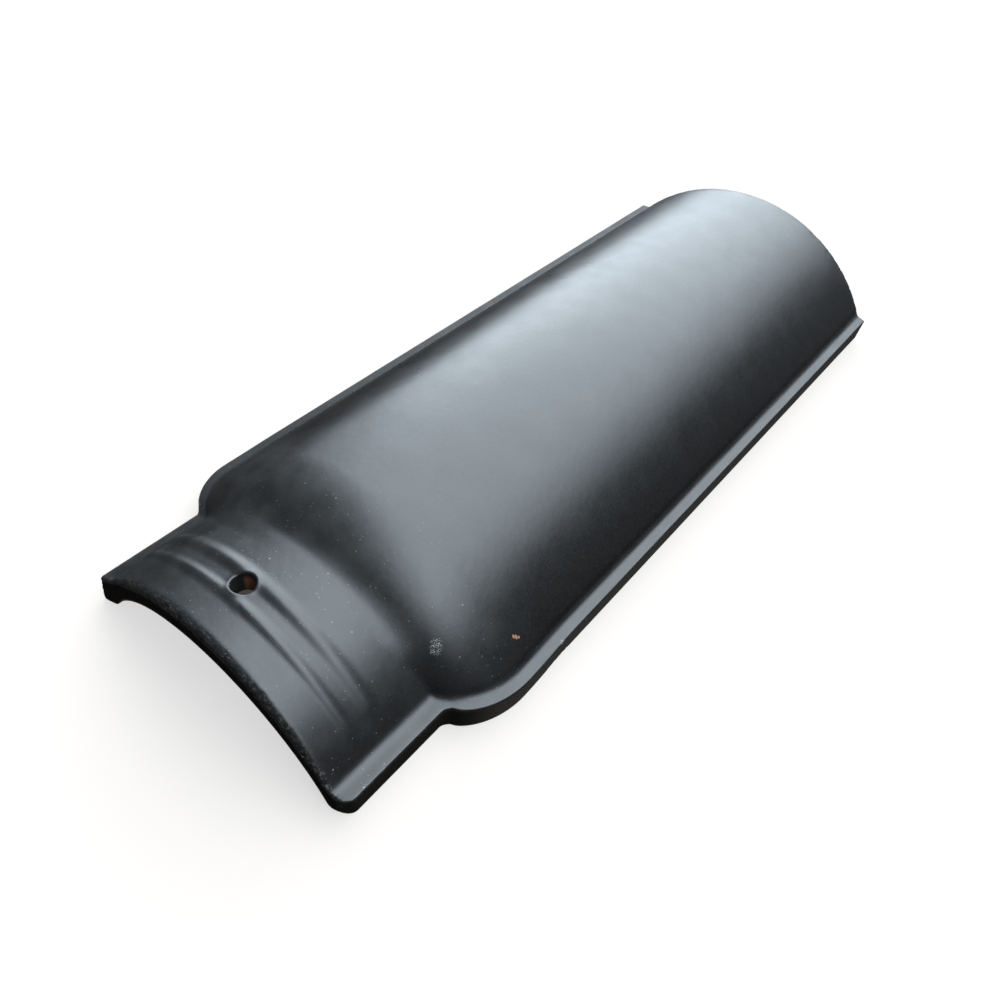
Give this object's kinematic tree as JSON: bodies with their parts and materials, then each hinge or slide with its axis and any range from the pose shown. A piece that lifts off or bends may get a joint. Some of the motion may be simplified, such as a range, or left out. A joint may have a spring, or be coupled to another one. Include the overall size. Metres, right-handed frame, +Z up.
{
  "type": "ridge tile",
  "caption": "Arched black glazed clay ridge tile with a narrower ribbed neck that the next tile's barrel covers, a screw hole and flat lips along both sides.",
  "frame": {"origin": "on the ground below the middle of the tile's box, between its two feet", "axes": "+Y along the tile from the neck's end to the barrel's open end, +X to the right when looking along +Y, +Z up through the crown"},
  "size_m": [0.1782, 0.4519, 0.0577],
  "materials": {
    "black_glaze": "satin black glaze over fired clay, with dust and a few small chips"
  },
  "bodies": {
    "root": {"ridge_tile": "black_glaze"}
  },
  "joints": []
}
